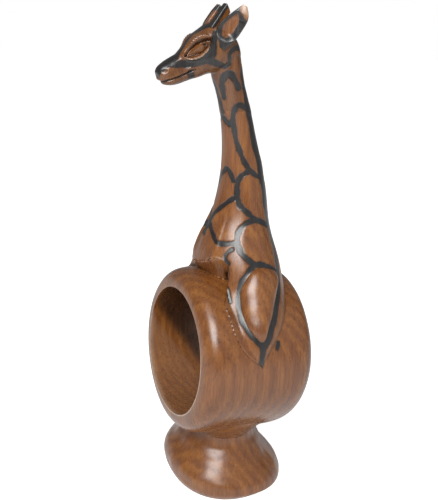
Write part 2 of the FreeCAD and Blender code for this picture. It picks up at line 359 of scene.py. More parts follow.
def hardwood(name, heart=(-34, 46), scorched=True, lightness=1.0, roughness=None, bump=1.0):
    look = woodLook
    material = bpy.data.materials.new(name)
    material.use_nodes = True
    tree = material.node_tree
    tree.nodes.clear()
    wire = Wire(tree)
    place = wire.node("ShaderNodeTexCoord", out="Object").vector("MULTIPLY", (1 / mm, 1 / mm, 1 / mm))
    # the fibres run upwards, so patterns drawn out along them are read at a small share of the height
    along = place.vector("MULTIPLY", (1, 1, 0.032))

    def noise(where, width, detail, bend=0.0):
        sockets = {"Vector": where, "Scale": 1 / width, "Detail": detail, "Roughness": 0.55}
        return wire.node("ShaderNodeTexNoise", {}, {**sockets, "Distortion": bend})

    cloud = noise(place, 22, 2)
    drift = noise(along, 6, 3, 0.2)
    streak = noise(along, look["streakWidth"] * 1.6, 4, 0.25)
    fine = noise(along, look["streakWidth"] * 0.55, 3)
    pores = noise(place.vector("MULTIPLY", (1, 1, 0.07)), look["poreWidth"], 2)
    # growth rings round a heart that lies outside the carving
    away = place.vector("MULTIPLY", (1, 1, 0.03)).vector("SUBTRACT", (*heart, 0))
    distance = wire.node("ShaderNodeVectorMath", {"operation": "LENGTH"}, {0: away}, "Value")
    swing = (distance + drift * 2.2) * (2 * math.pi / look["ringSpacing"])
    ringTone = swing.calc("SINE") * 0.5 + 0.5
    tone = streak * 0.40 + fine * 0.38 + drift * 0.30 + ringTone * 0.10 + cloud * 0.18 - 0.20
    stops = [(0.22, look["deep"]), (0.47, look["middle"]), (0.74, look["pale"])]
    wood = wire.node("ShaderNodeValToRGB", {"stops": stops}, {"Fac": tone}, "Color")
    poreMask = pores.spread(0.60, 0.72)
    wood = (poreMask * look["poreShare"]).blended(wood, (*look["deep"], 1))
    tint = noise(along, 3.5, 2).spread(0.45, 0.75)
    wood = (tint * look["purpleShare"]).blended(wood, (*look["purple"], 1))
    shade = (lightness, lightness, lightness, 1)
    wood = wire.node("ShaderNodeMix", {"data_type": "RGBA", "blend_type": "MULTIPLY"},
                     {"Factor": 1.0, 6: wood, 7: shade}, 2)
    # rubbed edges and painted light are pale, and grime and painted shade are dark, both in patches
    wear = wire.node("ShaderNodeAttribute", {"attribute_name": "wear"}, {}, "Fac")
    patchy = noise(along, 0.6, 3) * 0.8 + 0.6
    for amount, coverTone in ((wear, "paleWearAndLight"), (wear * -1, "shadeAndGrime")):
        cover = (amount.atLeast(0.0) * patchy).spread(0.0, 1.0)
        wood = cover.blended(wood, (*look[coverTone], 1))
    rough = (streak - 0.5) * 0.22 + (cloud - 0.5) * 0.16 + (roughness or look["roughness"])
    height = streak * 0.45 + fine * 0.25 - poreMask * 0.55 + noise(place, 2.4, 2) * 0.22
    if scorched:
        ink = wire.node("ShaderNodeAttribute", {"attribute_name": "ink"}, {}, "Fac")
        edge = ink + (noise(place, 0.9, 3) * 0.5 + noise(along, 0.5, 2) * 0.28 - 0.39)
        mask = edge.spread(0.16, -0.14)
        worn = noise(along, 0.8, 4).spread(0.66, 0.80, 1.0, 0.55)
        burnt = noise(along, 0.7, 3).spread(0.3, 0.75).blended((*look["scorch"], 1), (*look["char"], 1))
        halo = edge.spread(look["haloWidth"], 0.0) * look["haloShare"]
        wood = halo.blended(wood, (*look["deep"], 1))
        wood = (mask * worn).blended(wood, burnt)
        rough = rough + mask * 0.05
        height = height - mask * 0.9
    sockets = {"Height": height, "Strength": 1.0, "Distance": look["bumpDepth"] * mm * bump}
    normal = wire.node("ShaderNodeBump", {}, sockets)
    finish = {"Base Color": wood, "Roughness": rough, "Normal": normal, "IOR": 1.5,
              "Coat Weight": look["gloss"], "Coat Roughness": look["glossRoughness"]}
    shader = wire.node("ShaderNodeBsdfPrincipled", {}, finish)
    wire.node("ShaderNodeOutputMaterial", {}, {"Surface": shader})
    return material


oiledWood = hardwood("oiled_wood")
markedWood = hardwood("marked_wood", heart=(-30, 40))
footWood = hardwood("scuffed_wood", scorched=False, roughness=0.36, bump=1.1)
faceWood = hardwood("face_wood", heart=(-30, 40), lightness=0.72)
tornWood = hardwood("torn_wood", scorched=False, lightness=1.7, roughness=0.7, bump=2.0)


def dress(piece, material, slot, *nodes):
    piece.data.materials.clear()
    piece.data.materials.append(material)
    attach(piece, "root")
    if nodes:
        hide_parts(*nodes)


print("giraffe napkin ring: camera")

# the eye stands to the giraffe's left and a little in front, and is tipped by a few degrees
cameraPlace = {
    "position": (170.4, -91.4, 138.3),
    "right": (0.4385, 0.8974, 0.0483),
    "up": (-0.3053, 0.0981, 0.9472),
    "lens": 49.42,
}


def placeCamera():
    lens = bpy.data.cameras.new("camera")
    lens.lens = cameraPlace["lens"]
    lens.sensor_width = 36
    lens.clip_start = 0.01
    camera = addToScene("camera", lens)
    right = Vector(cameraPlace["right"]).normalized()
    back = right.cross(Vector(cameraPlace["up"])).normalized()
    up = back.cross(right)
    position = Vector(cameraPlace["position"]) * mm
    turn = camera.matrix_world.copy()
    for column, values in enumerate((right, up, back, position)):
        for row in range(3):
            turn[row][column] = values[row]
    camera.matrix_world = turn
    bpy.context.scene.camera = camera


placeCamera()

print("giraffe napkin ring: foot")

footShape = {
    # height, middle towards the back, half width across, half width front to back
    "rows": [
        (0.0, 0.0, 18.9, 16.8), (1.2, 0.0, 19.7, 17.5), (3.1, -0.1, 20.1, 17.9),
        (5.1, -0.4, 19.7, 17.6), (7.1, -0.8, 18.4, 16.4), (9.4, -1.2, 16.2, 14.3),
        (12.4, -1.3, 13.9, 12.3), (15.1, -1.3, 12.4, 10.8), (17.8, -1.3, 12.2, 9.9),
        (19.8, -1.3, 12.6, 10.2),
    ],
    "squareness": 2.25,
    "around": 220,
    "heights": 110,
    "underside": 7,
    "hollow": 0.5,  # the underside's rise towards its middle
    "lean": 1.7,  # how much lower the lip runs behind than in front
    "leanWay": (0.44, 0.90),
    "leanReach": 18,
}
swellShape = {
    "rows": [(17.2, -1.3, 12.1, 9.8), (19.8, -1.3, 13.9, 11.4), (22.6, -1.2, 16.3, 13.3),
             (26.2, -1.1, 18.4, 14.4), (30.0, -1.0, 19.6, 14.4)],
}


def footRing(row, height, share=1):
    # a level outline of the foot, drawn in by the share
    middle, wide, deep = row
    x, y = squaredOutline(footShape["around"], footShape["squareness"])
    return np.stack([wide * share * x, middle + deep * share * y, np.full(len(x), height)], 1)


def makeFoot():
    shape = footShape
    sole = smoothRows(shape["rows"], 0.0)
    rings = []
    for share in np.linspace(0.15, 0.97, shape["underside"]):
        rings.append(footRing(sole, shape["hollow"] * (1 - share) ** 0.5, share))
    heights = np.linspace(0, shape["rows"][-1][0], shape["heights"])
    for height, row in zip(heights, smoothRows(shape["rows"], heights)):
        rings.append(footRing(row, height))
    foot = newPiece("turned_foot", *loftShell(rings))
    points = readPoints(foot)
    normals = readPoints(foot, True)
    lift = easeStep(points[:, 2], 0.2, 3)
    behind = points[:, :2] @ np.array(shape["leanWay"]) / shape["leanReach"]
    drop = easeStep(points[:, 2], 0.05, 3.1) * (1 - easeStep(points[:, 2], 4.5, 16))
    points[:, 2] -= np.where(behind > 0, 1, 0.45) * behind * drop * shape["lean"]
    cut = handWaver(points, 9, 3, (1, 1, 2.2)) * 0.16 + handWaver(points, 4, 4) * 0.05
    writePoints(foot, points + normals * (cut * lift)[:, None])
    softShade(foot, 38)
    dress(foot, footWood, "oiled_hardwood", "foot")


makeFoot()

print("giraffe napkin ring: ring")

boreMount = next(mount for mount in frame["record"]["mounts"] if mount["name"] == "napkin_bore")
ringShape = {
    "Bore": float(boreMount["dims"]["r_mm"]),
    "Wall": 6.05,
    "Length": float(boreMount["dims"]["length_mm"]),
    "Shoulder power": 6.2,
    "Crown power": 2.41,
    "Crown share": 0.86,
    "Crowding": 2.4,
    "Around": 300,
    "Along": 150,
}
# painted light over the bore's inside and painted shade in its upper depth
boreShade = {"pale": 0.22, "dark": 1.0}  # both 0 for bare wood, when real shadows are enough
ringKnots = [
    # a dark knot and a hairline check beside the left shoulder's tip: place, half width
    [(23.0, 3.9, 53.4, 0.75), (23.3, 3.3, 51.8, 0.6)],
    [(23.2, -4.6, 53.6, 0.12), (23.5, -3.9, 51.9, 0.25)],
]
ringCentre = np.array(boreMount["pos_m"]) / mm
ringAxis = -np.array(boreMount["axis"])  # towards the back
ringUp = np.cross((1, 0, 0), ringAxis)


def ringPlace(points):
    # the share of the ring's length behind its middle, and the distance from its axis
    offset = points - ringCentre
    return offset @ ringAxis / ringShape["Length"], np.hypot(offset[:, 0], offset @ ringUp)


def ringRadius(share):
    # outer radius of the barrel at a share of its half length
    inner = 1 - np.abs(np.clip(share, -1, 1)) ** ringShape["Shoulder power"]
    return ringShape["Bore"] + ringShape["Wall"] * inner ** (1 / ringShape["Crown power"])


def startTree(name, sizes):
    # a Geometry Nodes tree with a named input for each size
    tree = bpy.data.node_groups.new(name, "GeometryNodeTree")
    tree.interface.new_socket("Geometry", in_out="INPUT", socket_type="NodeSocketGeometry")
    for size, value in sizes.items():
        kind = "NodeSocketInt" if isinstance(value, int) else "NodeSocketFloat"
        tree.interface.new_socket(size, in_out="INPUT", socket_type=kind)
    tree.interface.new_socket("Geometry", in_out="OUTPUT", socket_type="NodeSocketGeometry")
    wire = Wire(tree)
    return wire, {size: wire.node("NodeGroupInput", out=size) for size in sizes}


def endTree(wire, geometry, material):
    whole = wire.node("GeometryNodeRealizeInstances", {}, {"Geometry": geometry})
    dressed = wire.node("GeometryNodeSetMaterial", {}, {"Geometry": whole, "Material": material})
    wire.node("NodeGroupOutput", {}, {0: dressed})
    return wire.tree


def turnedTree(material):
    # a flat sheet is rolled round the axis and along the wall's outline, then its seams are merged
    wire, size = startTree("turned_ring", ringShape)
    sheet = {"Size X": 1.0, "Size Y": 1.0, "Vertices X": size["Around"], "Vertices Y": size["Along"]}
    grid = wire.node("GeometryNodeMeshGrid", {}, sheet)
    spot = wire.node("GeometryNodeInputPosition")
    turn = wire.node("ShaderNodeSeparateXYZ", {}, {0: spot}, "X") * (2 * math.pi)
    run = wire.node("ShaderNodeSeparateXYZ", {}, {0: spot}, "Y") + 0.5
    share = size["Crown share"]
    crownRun = run / share * 2 - 1
    closeness = 1 - (1 - abs(crownRun)).atLeast(0.0) ** size["Crowding"]
    crownSide = crownRun.calc("SIGN") * closeness
    inner = (1 - abs(crownSide) ** size["Shoulder power"]).atLeast(0.0)
    crown = size["Bore"] + size["Wall"] * inner ** (1 / size["Crown power"])
    boreSide = 1 - (run - share) / (1 - share) * 2
    inBore = run.above(share)
    side = inBore * boreSide + (1 - inBore) * crownSide
    radius = inBore * size["Bore"] + (1 - inBore) * crown
    across = radius * turn.calc("COSINE") * mm
    upward = radius * turn.calc("SINE") * mm
    onward = side * size["Length"] * (0.5 * mm)
    # the barrel's own directions, from the mount
    place = across.timesVector((1, 0, 0)).vector("ADD", upward.timesVector(tuple(ringUp)))
    place = place.vector("ADD", onward.timesVector(tuple(ringAxis))).vector("ADD", tuple(ringCentre * mm))
    rolled = wire.node("GeometryNodeSetPosition", {}, {"Geometry": grid, "Position": place})
    merged = wire.node("GeometryNodeMergeByDistance", {}, {"Geometry": rolled, "Distance": 2e-6})
    return endTree(wire, merged, material)


def runTree(piece, tree, values):
    tool = piece.modifiers.new(tree.name, "NODES")
    tool.node_group = tree
    for item in tree.interface.items_tree:
        if item.in_out == "INPUT" and item.name in values:
            tool[item.identifier] = values[item.name]
    settle(piece)


def swellReach(points):
    # how far from the barrel's axis the swell over the foot reaches, along each point's own spoke
    offset = points - ringCentre
    spoke = np.maximum(ringPlace(points)[1], 1e-6)
    direction = (offset - np.outer(offset @ ringAxis, ringAxis)) / spoke[:, None]
    base = points - direction * spoke[:, None]
    low = np.full(len(points), 18.0)
    high = np.full(len(points), 34.0)
    floor = swellShape["rows"][0][0]
    power = footShape["squareness"]
    for _ in range(24):
        middle = (low + high) / 2
        spot = base + direction * middle[:, None]
        height = np.clip(spot[:, 2], floor, swellShape["rows"][-1][0])
        centre, wide, deep = smoothRows(swellShape["rows"], height).T
        inside = np.abs(spot[:, 0] / wide) ** power + np.abs((spot[:, 1] - centre) / deep) ** power < 1
        inside &= spot[:, 2] > floor
        low = np.where(inside, middle, low)
        high = np.where(inside, high, middle)
    return low, spoke, direction


def makeRing():
    ring = newPiece("turned_ring", [(0, 0, 0), (1, 0, 0), (0, 1, 0)], [(0, 1, 2)])
    runTree(ring, turnedTree(oiledWood), ringShape)
    outwardFaces(ring)
    points = readPoints(ring)
    reach, spoke, direction = swellReach(points)
    below = (direction[:, 2] < -0.55) & (spoke > ringShape["Bore"] + 0.4)
    grow = np.where(below, np.clip(reach - spoke, 0, 8), 0)
    fade = easeStep(-direction[:, 2], 0.55, 0.72)
    points = points + direction * (grow * fade)[:, None]
    outer = easeStep(spoke, ringShape["Bore"] + 0.5, ringShape["Bore"] + 3)
    waver = handWaver(points, 17, 5) * 0.16 + handWaver(points, 7, 6, (1, 1, 0.5)) * 0.05
    points = points + direction * (waver * (0.25 + 0.75 * outer))[:, None]
    writePoints(ring, points)
    axial = ringPlace(points)[0]
    # a painted sheen along the bore's edge
    rim = hump((spoke - ringShape["Bore"] - 0.18) / 0.22) * easeStep(2 * np.abs(axial), 0.975, 0.995)
    # a painted light over the bore's inside and a painted shade in its upper depth, which stands in for the
    # deep shadow that falls there
    inside = 1 - easeStep(spoke, ringShape["Bore"] + 0.1, ringShape["Bore"] + 0.4)
    dark = easeStep(axial * 2.3 + direction @ ringUp, -1.0, -0.5) * (1 - 0.55 * easeStep(axial, 0.05, 0.3))
    boreLightAndShade = inside * (boreShade["pale"] - dark * boreShade["dark"])
    storeInk(ring, strokeGap(points, ringKnots), rim * 0.75 + boreLightAndShade)
    softShade(ring, 50)
    dress(ring, oiledWood, "oiled_hardwood", "ring")


makeRing()

print("giraffe napkin ring: neck and saddle")

neckShape = {
    # height, middle towards the back, half width across, half width front to back
    "rows": [
        (47.3, -1.8, 24.9, 0.8), (49.6, -2.2, 24.9, 5.4), (52.4, -1.8, 24.6, 10.6),
        (55.0, -1.2, 24.0, 13.6), (58.0, -0.5, 22.8, 14.8), (61.0, 0.4, 21.1, 14.4),
        (64.0, 1.0, 19.3, 13.4), (68.3, 1.1, 17.0, 12.5), (73.2, 0.9, 14.6, 11.9),
        (78.1, 0.8, 12.0, 10.5), (84.0, 1.3, 9.2, 8.6), (89.9, 1.7, 7.6, 7.4),
        (96.7, 1.4, 6.5, 6.3), (103.6, 0.6, 5.5, 5.3), (109.4, -0.6, 4.9, 4.7),
        (115.2, -2.0, 4.6, 4.4), (119.1, -3.2, 4.5, 4.3), (123.0, -4.5, 4.6, 4.4),
        (126.8, -5.3, 4.6, 4.3), (130.7, -5.7, 4.2, 3.6),
    ],
    "seam": 115.2,  # where the head begins
    "around": 240,
    "heights": 300,
    "seat": 0.6,  # how far the saddle reaches under the ring's skin
    "press": 0.10,  # how deep the scorched lines are pressed in
}
notchShape = {
    # the knife's cut under the chest: angle from the left side towards the front, its upper edge, its depth
    "rows": [
        (30, 72.0, 3.6), (38, 74.0, 5.2), (46, 74.8, 5.0), (57, 74.7, 3.9), (74, 72.8, 3.2),
        (90, 71.5, 2.8), (104, 70.8, 2.3), (118, 70.3, 1.8), (135, 70.2, 1.5), (150, 70.2, 0.8),
    ],
    "floor": 67.6,
    "opens": (35.8, 37.8),
    "closes": (138, 150),
    "pocket": 1.3,  # how much deeper its left end is
    "notchShade": 0.28,
    "pocketShade": 0.85,
    "worn": 0.55,  # how rubbed its upper edge is
}
legShape = {
    # height, and the angle at which a leg's plain oval dips into the ring
    "rows": [(47.3, 0), (49.6, 3.2), (52.4, 9), (55, 14.6), (58, 20), (61, 25.9), (64, 33), (68, 35)],
    "proud": 0.2,
    "edge": 0.3,
    "step": 1.3,
}
chestShape = {"edgeAngle": 59, "edge": 0.32, "planed": 0.25}


def heldRows(rows, at):
    # the rows' values, which stay at the last ones beyond either end
    return smoothRows(rows, np.clip(at, rows[0][0], rows[-1][0])).T


def neckSpot(angle, height):
    # a point of the neck's skin, at an angle from the left side towards the front, in degrees
    angle = np.radians(np.asarray(angle, float))
    middle, wide, deep = smoothRows(neckShape["rows"], height).T
    reach = 1 / np.sqrt((np.cos(angle) / wide) ** 2 + (np.sin(angle) / deep) ** 2)
    return np.stack([reach * np.cos(angle), middle - reach * np.sin(angle), np.asarray(height, float)], -1)


def neckRelief(points):
    # how far the skin stands in or out of the plain oval, and its unit direction from the middle line
    height = np.clip(points[:, 2], neckShape["rows"][0][0], neckShape["rows"][-1][0])
    middle = smoothRows(neckShape["rows"], height)[:, 0]
    spoke = np.stack([points[:, 0], points[:, 1] - middle], 1)
    reach = np.maximum(np.linalg.norm(spoke, axis=1), 1e-6)
    spoke = spoke / reach[:, None]
    angle = np.degrees(np.arctan2(-spoke[:, 1], np.abs(spoke[:, 0])))
    turn = np.degrees(np.arctan2(-spoke[:, 1], spoke[:, 0]))
    edge, depth = heldRows(notchShape["rows"], turn)
    below = np.clip((edge - height) / (edge - notchShape["floor"] + 0.01), 0, 1.3)
    sideWall = easeStep(turn, *notchShape["opens"]) * (1 - easeStep(turn, *notchShape["closes"]))
    inward = depth * below * sideWall
    inward += notchShape["pocket"] * hump((turn - 40) / 3.2, (height - 69.3) / 1.7) * sideWall
    # the legs stand proud of the ring, most along their front edges, and end there in a step
    leg = easeStep(height, 47.3, 50) * (1 - easeStep(height, 64, 68))
    pastEdge = angle - heldRows(legShape["rows"], height)[0]
    proud = legShape["proud"] * easeStep(pastEdge, -25, -8)
    proud += legShape["edge"] * easeStep(pastEdge, -8, 0)
    proud += legShape["step"] * easeStep(pastEdge, -1.5, 3)
    proud *= leg * (1 - 2.2 * easeStep(pastEdge, 3.8, 5.4)) * (1 - easeStep(pastEdge, 12, 30))
    # the chest's front is planed a little flatter, up to a soft edge at each side
    chest = easeStep(height, 70, 74) * (1 - easeStep(height, 80, 90))
    edgeRidge = hump((angle - chestShape["edgeAngle"]) / 4.5) * chestShape["edge"]
    edgeRidge = edgeRidge - easeStep(angle, 60, 74) * chestShape["planed"]
    waver = handWaver(points, 11, 11, (1, 1, 0.5)) * 0.13 + handWaver(points, 4.5, 12, (1, 1, 0.4)) * 0.06
    out = chest * edgeRidge + waver * easeStep(height, 50, 58) + proud - inward
    return out, np.column_stack([spoke, np.zeros(len(points))])


def onRelief(spots):
    # points of the plain oval, moved to the carved skin
    relief, spoke = neckRelief(spots)
    return spots + spoke * relief[:, None]


scorchLines = {
    # angle from the left side towards the front, height; the last number is the line's half width
    "front edge": ([(96, 122.5), (89, 119.5), (83, 117), (78, 114.8)], 0.8),
    "upper cell": ([(-30, 115), (-14, 116), (8, 117), (27, 115.6), (39, 113), (38.5, 108), (30, 104.6),
                    (20, 101.7), (7, 99.6), (-9, 97.9), (-30, 97)], 0.75),
    "mane": ([(-52, 125), (-42, 118), (-37, 112), (-37, 105), (-40, 98.5), (-42, 93), (-44, 88),
              (-47, 83)], 1.9),
    "nape": ([(-90, 127), (-90, 118), (-90, 110), (-90, 102), (-90, 95)], 3.1),
    "back line": ([(-48, 84), (-43, 79), (-35, 74.5), (-28, 71), (-16, 65.7), (-8, 61), (-4.5, 57.5),
                   (0, 54)], 1.2),
    "chin patch": ([(103, 113), (90, 113.3), (74, 112.8), (60, 111.6), (46, 112.3)], 0.8),
    "arch": ([(106, 95), (93, 97), (74, 99), (60, 98.2), (50, 96)], 0.75),
    "knot": ([(4, 99), (24, 98), (37, 96), (39, 93), (35, 90.3), (25, 88.7), (12, 87.3), (1, 85.9),
              (-15, 84.7), (-40, 83)], 0.8),
    "left patch": ([(35, 90.8), (45, 91.2), (62, 89.6), (82, 87.2), (97, 84.9), (97, 82.8), (84, 81.4),
                    (70, 80), (57, 78.9), (42, 79), (27, 79.6)], 0.75),
    "right patch": ([(27, 79.7), (27, 82), (17, 84.4), (-2, 85.4), (-21, 84.5), (-44, 82.6)], 0.8),
    "breast line": ([(108, 79.5), (98, 82), (90, 82.4)], 0.75),
    "shoulder top": ([(26, 79.3), (20, 77), (12, 75.3), (4, 74.2), (-6, 73.8), (-15, 72.6), (-25, 71)], 0.85),
    "shoulder front": ([(5, 74), (14, 72.2), (21.5, 69.2), (24, 65.9), (22, 62.3), (17, 59.6), (12, 57.6),
                        (6, 55.3), (1, 53.7)], 0.75),
    "drop": ([(1, 54.4), (0.5, 51.5), (0, 47)], 1.0),
    "upper hook": ([(33, 77.8), (39.5, 76.6), (41, 75.2), (36.5, 74.0)], 0.6),
    "notch edge": ([(36, 74.2), (35.5, 72), (35.2, 69.5)], 0.22),
    "lower hook": ([(39, 68.9), (35, 66.7), (31, 64.3)], 0.62),
    "throat hook": ([(59, 118.8), (55, 121.5), (44, 123.6), (22, 125.2), (6, 124), (-6, 121.6)], 0.9),
    "mane tail": ([(-90, 97), (-90, 92.5), (-90, 89)], 2.0),
    "mane point": ([(-90, 90), (-90, 85)], 1.0),
}


def neckStrokes():
    strokes = []
    for side in (1, -1):
        for number, (route, half) in enumerate(scorchLines.values()):
            route = smoothLine(route, 8)
            if side < 0:
                # the right side's lines are the hand's second try at the same pattern
                away = easeStep(90 - np.abs(route[:, 0]), 5, 50)
                route[:, 1] += away * (0.9 * math.sin(number * 2.3) + 0.5)
                route[:, 0] += away * 4 * math.sin(number * 1.7 + 1)
                route[:, 0] -= np.clip(route[:, 0], 0, 200) * 0.26
            spots = onRelief(neckSpot(route[:, 0], np.clip(route[:, 1], 47.4, 130)))
            spots[:, 0] *= side
            width = half * (1 + 0.14 * np.sin(np.arange(len(route)) * 0.55 + number))
            strokes.append(np.column_stack([spots, width]))
    return strokes


def makeSeatCutter(inset):
    # the ring's own barrel, without its bore and a little smaller
    shares = np.sin(np.linspace(-1, 1, 90) * math.pi / 2)
    turns = evenTurns(200)
    rings = []
    for share in shares:
        radius = ringRadius(share * 0.9995) - inset
        circle = np.outer(np.cos(turns), (1, 0, 0)) + np.outer(np.sin(turns), ringUp)
        rings.append(ringCentre + circle * radius + ringAxis * share * (ringShape["Length"] / 2 - inset))
    return newPiece("seat_cutter", *loftShell(rings))


def neckRings(low, high, count, around):
    turns = evenTurns(around)
    rings = []
    for height in np.linspace(low, high, count):
        middle, wide, deep = smoothRows(neckShape["rows"], height)
        x, y = wide * np.cos(turns), middle - deep * np.sin(turns)
        rings.append(np.stack([x, y, np.full(around, height)], 1))
    return np.array(rings)


def makeNeck(strokes):
    shape = neckShape
    rings = neckRings(shape["rows"][0][0], shape["seam"], shape["heights"], shape["around"])
    rings = onRelief(rings.reshape(-1, 3)).reshape(rings.shape)
    neck = newPiece("carved_neck", *loftShell(rings))
    cutter = makeSeatCutter(shape["seat"])
    combine(neck, cutter, "DIFFERENCE")
    discard(cutter)
    points = readPoints(neck)
    gap = strokeGap(points, strokes)
    # the scorched lines are pressed a little into the wood
    normals = readPoints(neck, True)
    onSkin = easeStep(points[:, 2], 47, 50) * (1 - easeStep(points[:, 2], 113.5, 115))
    press = (1 - easeStep(gap, -0.25, 0.25)) * shape["press"] * onSkin
    writePoints(neck, points - normals * press[:, None])
    # the chest's lower edge is rubbed, and the notch under it carries a painted shade
    middle = smoothRows(neckShape["rows"], points[:, 2])[:, 0]
    angle = np.degrees(np.arctan2(middle - points[:, 1], points[:, 0]))
    overEdge = points[:, 2] - heldRows(notchShape["rows"], angle)[0]
    inNotch = easeStep(angle, 35, 38) * easeStep(-overEdge, 0.2, 1.2)
    pocket = hump((angle - 39) / 5, (points[:, 2] - 69) / 1.6)
    wear = hump((overEdge - 0.1) / 0.35) * easeStep(angle, 34, 38) * notchShape["worn"]
    wear -= inNotch * (notchShape["notchShade"] + notchShape["pocketShade"] * pocket)
    # a painted shade lies where the saddle meets the ring
    axial, distance = ringPlace(points)
    overRing = distance - ringRadius(2 * axial * 0.9995)
    crease = hump((overRing - 0.05) / 0.4) * (points[:, 1] - ringCentre[1] < 4)
    wear -= crease * (0.35 + 0.55 * inNotch)
    storeInk(neck, gap, wear)
    softShade(neck, 34)
    dress(neck, markedWood, "marked_hardwood", "neck")
    return neck


neckInk = neckStrokes()
makeNeck(neckInk)

print("giraffe napkin ring: shoulders")

shoulderShape = {
    # the teardrop's outline on the saddle: angle from the left side towards the front, height
    "outline": [
        (-6, 72.9), (4, 73.1), (13, 71.5), (20, 68.8), (22.2, 65.8), (20.2, 62.5), (15.2, 59.6), (8, 56.6),
        (1.5, 55.0), (-1, 57), (-4, 60.2), (-8.5, 64), (-17, 68), (-22, 70.4), (-17, 72.2),
    ],
    "middle": (3.0, 65.3),
    "rise": 2.1,
    "fullness": 0.60,
    "depth": 1.4,
    "thinner": 0.25,  # how much less of the scorched lines runs onto it
    "around": 160,
    "rings": 36,
}


def makeShoulder(name, node, side, strokes):
    shape = shoulderShape
    # the outline is closed by running past its start on both sides
    count = len(shape["outline"])
    order = np.arange(-3, count + 4)
    knots = np.column_stack([order, np.array(shape["outline"], float)[order % count]])
    outline = smoothRows(knots, np.linspace(0, count, shape["around"], endpoint=False))
    middle = np.array(shape["middle"])
    rings = []
    for share in np.linspace(0.04, 0.97, 8):
        rings.append((share, -shape["depth"]))
    for turn in np.linspace(0, math.pi / 2, shape["rings"])[:-1]:
        share = math.cos(turn)
        rings.append((share, shape["rise"] * (1 - share**2.2) ** shape["fullness"]))
    loops = []
    for share, lift in rings:
        spots = middle + (outline - middle) * share
        base = neckSpot(spots[:, 0], spots[:, 1])
        ahead = neckSpot(spots[:, 0] + 0.5, spots[:, 1])
        above = neckSpot(spots[:, 0], spots[:, 1] + 0.2)
        outward = np.cross(above - base, ahead - base)
        outward /= np.linalg.norm(outward, axis=1)[:, None]
        outward *= np.sign((outward * (base * (1, 1, 0))).sum(1))[:, None]
        loops.append(base + outward * lift)
    loops = np.array(loops)
    loops[..., 0] *= side
    shoulder = newPiece(name, *loftShell(loops))
    points = waverSkin(shoulder, 6, 21 + side, 0.07)
    storeInk(shoulder, strokeGap(points, strokes) + shape["thinner"])
    softShade(shoulder, 50)
    dress(shoulder, markedWood, "marked_hardwood", node)


for name, node, side in (("left_shoulder", "shoulder_left", 1), ("right_shoulder", "shoulder_right", -1)):
    makeShoulder(name, node, side, neckInk)

print("giraffe napkin ring: head")

headShape = {
    "origin": (0, -5.0, 130.5),
    "pitch": 28,  # degrees that the face looks down
    # along to the nose, middle height across it, half height, half width
    "rows": [
        (-3.0, 1.0, 1.5, 1.3), (-2.2, 1.2, 3.6, 3.2), (-0.6, 2.0, 5.6, 4.6), (1.5, 2.7, 6.5, 5.3),
        (4.5, 3.0, 6.1, 5.5), (7.0, 3.1, 5.6, 5.2), (9.1, 3.1, 5.1, 4.6), (11.0, 2.7, 4.5, 3.8),
        (13.2, 2.5, 3.9, 3.3), (16.3, 2.7, 3.5, 3.1), (18.6, 2.9, 3.1, 2.9), (20.0, 3.2, 2.4, 2.3),
        (20.9, 3.4, 1.5, 1.4),
    ],
    "squareness": 2.3,
    "voxel": 0.21,
    "jawBack": 13.2,
    "jawHeight": 1.3,
    "press": 0.08,  # how deep the scorched lines are pressed in
}
pitch = math.radians(headShape["pitch"])
headAxes = np.array([
    (1, 0, 0),
    (0, -math.cos(pitch), -math.sin(pitch)),
    (0, -math.sin(pitch), math.cos(pitch)),
])
headOrigin = np.array(headShape["origin"])


def fromHead(across, along, up):
    # a place given by its distance to the left, towards the nose and up from the jaw line
    local = np.stack(np.broadcast_arrays(across, along, up), -1).astype(float)
    return headOrigin + local @ headAxes


def toHead(points):
    return ((np.asarray(points) - headOrigin) @ headAxes.T).T


eyeShape = {
    "front": (13.0, 5.2),
    "back": (4.9, 6.2),
    "upper": 1.55,
    "lower": 1.85,
    "socket": 1.15,
    "brow": 0.48,
    "lid": 0.58,
    "scallop": 0.75,  # mm from one gouge mark to the next on the brow
}
faceShape = {
    # places are along to the nose and up from the jaw line
    "mouth": [(21.2, 2.1), (19.9, 1.8), (16.2, 1.3), (13.4, 1.15), (11.9, 0.9)],
    "mouthDepth": 0.5,
    "lip": 0.16,
    "nostrilAt": (19.3, 4.3),
    "nostrilDepth": 0.35,
    "cheekAt": (14.5, 3.2),
    "cheekDepth": 0.25,
    "jawboneAt": (10, 2.2),
    "jawbone": 0.18,
    "snoutSheenAt": (16.6, 5.0),  # where a painted highlight lies on the snout's side
}


def eyeCoordinates(along, up):
    # -1 at the front corner and 1 at the back one, and the distance above the line between them
    front, back = np.array(eyeShape["front"]), np.array(eyeShape["back"])
    run = back - front
    length = np.linalg.norm(run)
    run = run / length
    x = (np.asarray(along) - front[0]) * run[0] + (np.asarray(up) - front[1]) * run[1]
    y = -(np.asarray(along) - front[0]) * run[1] + (np.asarray(up) - front[1]) * run[0]
    return 2 * x / length - 1, -y


def eyeEdges(share):
    inner = np.clip(1 - share**2, 0, 1)
    upper = eyeShape["upper"] * inner**0.65 * (1 + 0.25 * share)
    lower = eyeShape["lower"] * inner**0.75 * (1 - 0.28 * share)
    return upper, lower


